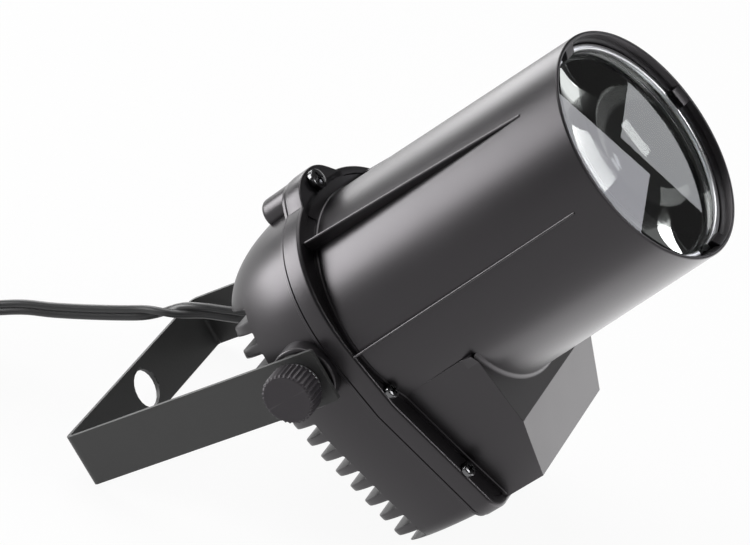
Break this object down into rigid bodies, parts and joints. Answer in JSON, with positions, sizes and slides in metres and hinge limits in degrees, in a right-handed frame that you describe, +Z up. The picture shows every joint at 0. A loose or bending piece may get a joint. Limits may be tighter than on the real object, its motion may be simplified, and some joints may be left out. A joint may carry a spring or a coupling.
{
  "type": "pinspot light",
  "caption": "Small tilting spotlight: finned rear housing, tapered lens barrel, bent U bracket, thumb knobs and a flat twin cord with plug.",
  "frame": {"origin": "under the middle of the lamp, on the surface that it stands on, with the cord left out", "axes": "+Z up, +X forward, the way the barrel leans, +Y from the near knob to the far knob"},
  "size_m": [0.3624, 0.1262, 0.1715],
  "materials": {
    "housing_plastic": "satin black moulded plastic",
    "knob_plastic": "satin black moulded plastic",
    "bracket_steel": "matt dark grey paint",
    "black_screw": "black zinc",
    "zinc_steel": "bright zinc",
    "brass": "plain",
    "sink_aluminium": "as cast",
    "lens_glass": "polished",
    "black_rubber": "matt",
    "inner_plastic": "matt",
    "board_green": "solder mask",
    "board_white": "solder mask",
    "emitter_yellow": "phosphor under a clear dome",
    "transformer_yellow": "taped winding",
    "cord_pvc": "smooth flexible plastic",
    "lead_white": "smooth flexible plastic",
    "lead_red": "smooth flexible plastic"
  },
  "bodies": {
    "bracket": {"yoke": "bracket_steel", "cord_run": "cord_pvc", "cord_coil": "cord_pvc", "cord_tie": "black_rubber", "plug_body": "inner_plastic", "plug_blade_near": "brass", "plug_blade_far": "brass"},
    "head": {"front_housing": "housing_plastic", "rear_housing": "housing_plastic", "main_lens": "lens_glass", "lens_gasket": "black_rubber", "lens_ring": "zinc_steel", "heat_sink": "sink_aluminium", "led_board": "board_white", "led_emitter": "emitter_yellow", "condenser_holder": "inner_plastic", "condenser_lens": "lens_glass", "driver_board": "board_green", "driver_transformer": "transformer_yellow", "driver_capacitor": "inner_plastic", "terminal_block": "board_white", "lug_screw": "black_screw", "flange_screw_1": "black_screw", "flange_screw_2": "black_screw", "flange_screw_3": "black_screw", "flange_screw_4": "black_screw", "cord_gland": "black_rubber", "gland_nut": "inner_plastic", "heat_sink_screw_low": "zinc_steel", "heat_sink_screw_high": "zinc_steel", "cord_tail": "cord_pvc", "led_board_screw_near": "zinc_steel", "driver_board_screw_near": "zinc_steel", "mains_lead_near": "cord_pvc", "led_lead_near": "cord_pvc", "near_pivot_insert": "brass", "near_friction_washer": "black_rubber", "led_board_screw_far": "zinc_steel", "driver_board_screw_far": "zinc_steel", "mains_lead_far": "lead_white", "led_lead_far": "lead_red", "far_pivot_insert": "brass", "far_friction_washer": "black_rubber"},
    "near_knob": {"near_knob": "knob_plastic", "near_stud": "zinc_steel", "near_knob_washer": "zinc_steel"},
    "far_knob": {"far_knob": "knob_plastic", "far_stud": "zinc_steel", "far_knob_washer": "zinc_steel"}
  },
  "joints": [
    {"name": "head_tilt", "type": "hinge", "parent": "bracket", "child": "head", "pos_m": [-0.01756, 0, 0.06087], "axis": [0, -1, 0], "range_deg": [-80, 105]},
    {"name": "near_knob_turn", "type": "hinge", "parent": "head", "child": "near_knob", "pos_m": [-0.01756, -0.055, 0.06087], "axis": [0, -1, 0], "continuous": true},
    {"name": "far_knob_turn", "type": "hinge", "parent": "head", "child": "far_knob", "pos_m": [-0.01756, 0.055, 0.06087], "axis": [0, 1, 0], "continuous": true}
  ]
}
